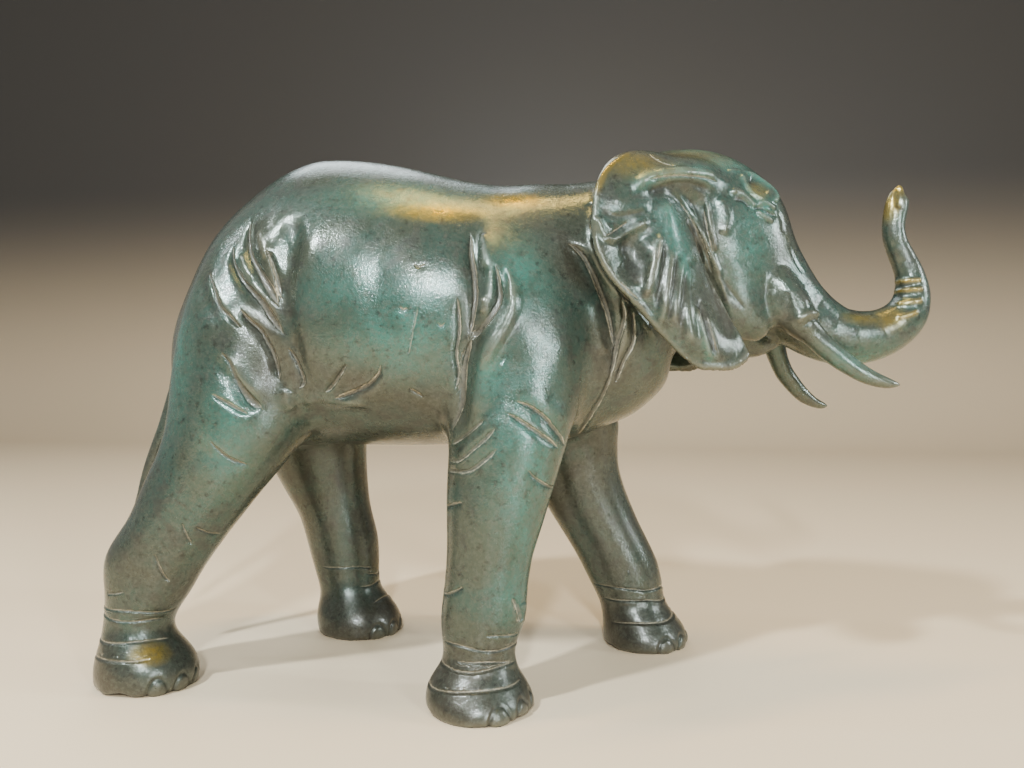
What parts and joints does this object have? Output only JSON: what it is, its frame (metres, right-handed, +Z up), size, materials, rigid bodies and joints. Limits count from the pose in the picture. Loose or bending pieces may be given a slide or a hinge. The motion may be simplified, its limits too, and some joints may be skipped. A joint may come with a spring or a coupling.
{
  "type": "elephant sculpture",
  "caption": "Walking elephant with a raised curled trunk, tusks and pleated ears, a hollow bronze casting with green patina that stands on its own feet",
  "frame": {"origin": "the middle of the bounding box, at the level of the soles", "axes": "+X is forward along the body, towards the head and trunk; +Y is the elephant's left; +Z is up"},
  "size_m": [0.2826, 0.1088, 0.1819],
  "materials": {
    "patinated_bronze": "satin green and brown patina over cast bronze, cream in the creases and worn to gold on the ear rim, back and trunk tip"
  },
  "bodies": {
    "root": {"elephant": "patinated_bronze"}
  },
  "joints": []
}
